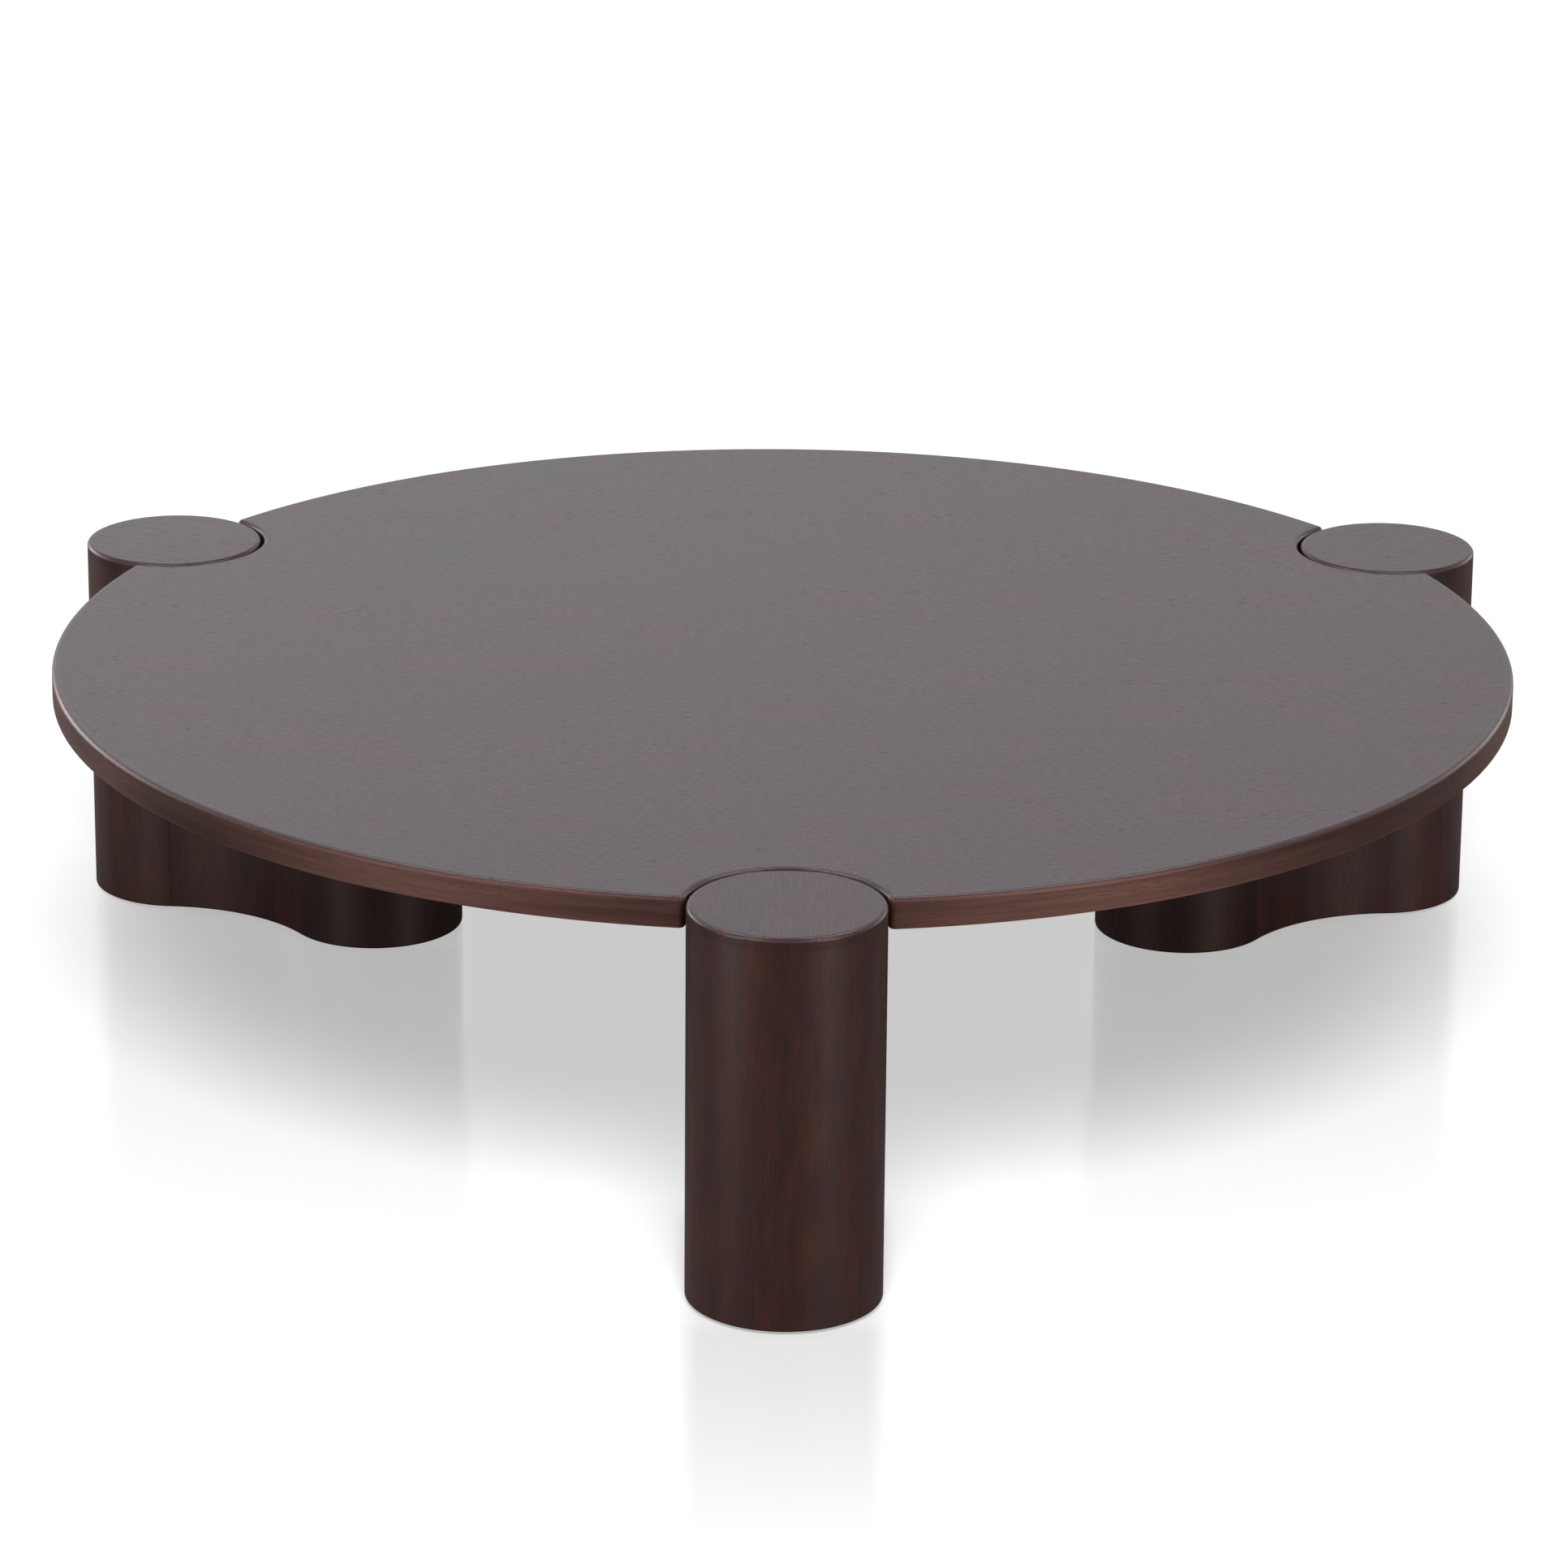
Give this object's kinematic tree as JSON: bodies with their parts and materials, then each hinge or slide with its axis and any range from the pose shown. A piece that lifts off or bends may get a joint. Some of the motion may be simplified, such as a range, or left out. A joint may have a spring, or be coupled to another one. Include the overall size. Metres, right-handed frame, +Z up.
{
  "type": "round low table",
  "caption": "Round low table: a board top with a notched rim on block legs of dog-bone plan, whose outer posts rise through the notches and end flush with the top.",
  "frame": {"origin": "on the floor, under the centre of the round top", "axes": "+Z up through the centre of the top; -Y towards the front leg, +Y away from it; +X to the right seen from the front; the other two legs point 30 degrees behind +X and -X"},
  "size_m": [1.203, 1.2829, 0.315],
  "materials": {
    "top_veneer": "dark stained open-pore veneer, satin lacquer",
    "edge_lipping": "dark red-brown stained solid lipping, satin lacquer",
    "post_cap_wood": "dark stained open-pore wood, satin lacquer",
    "leg_veneer": "dark stained veneer with upright grain, satin lacquer",
    "core_board": "raw board",
    "batten_wood": "raw sawn wood",
    "zinc_steel": "zinc plated",
    "felt": "dense felt"
  },
  "bodies": {
    "root": {"bolt_washers": "zinc_steel", "felt_glides": "felt", "front_leg_base_board": "core_board", "front_leg_deck_board": "core_board", "front_leg_joint_battens": "batten_wood", "front_leg_left_neck_cheek": "leg_veneer", "front_leg_lobe_panel": "leg_veneer", "front_leg_middle_board": "core_board", "front_leg_post_cap": "post_cap_wood", "front_leg_post_collar": "leg_veneer", "front_leg_post_head": "core_board", "front_leg_post_panel": "leg_veneer", "front_leg_right_neck_cheek": "leg_veneer", "left_leg_base_board": "core_board", "left_leg_deck_board": "core_board", "left_leg_joint_battens": "batten_wood", "left_leg_left_neck_cheek": "leg_veneer", "left_leg_lobe_panel": "leg_veneer", "left_leg_middle_board": "core_board", "left_leg_post_cap": "post_cap_wood", "left_leg_post_collar": "leg_veneer", "left_leg_post_head": "core_board", "left_leg_post_panel": "leg_veneer", "left_leg_right_neck_cheek": "leg_veneer", "leg_bolts": "zinc_steel", "locating_dowels": "batten_wood", "notch_lipping_front": "edge_lipping", "notch_lipping_left": "edge_lipping", "notch_lipping_right": "edge_lipping", "right_leg_base_board": "core_board", "right_leg_deck_board": "core_board", "right_leg_joint_battens": "batten_wood", "right_leg_left_neck_cheek": "leg_veneer", "right_leg_lobe_panel": "leg_veneer", "right_leg_middle_board": "core_board", "right_leg_post_cap": "post_cap_wood", "right_leg_post_collar": "leg_veneer", "right_leg_post_head": "core_board", "right_leg_post_panel": "leg_veneer", "right_leg_right_neck_cheek": "leg_veneer", "rim_lipping_back": "edge_lipping", "rim_lipping_front_left": "edge_lipping", "rim_lipping_front_right": "edge_lipping", "threaded_inserts": "zinc_steel", "top_back_veneer": "top_veneer", "top_core": "core_board", "top_face_veneer": "top_veneer"}
  },
  "joints": []
}
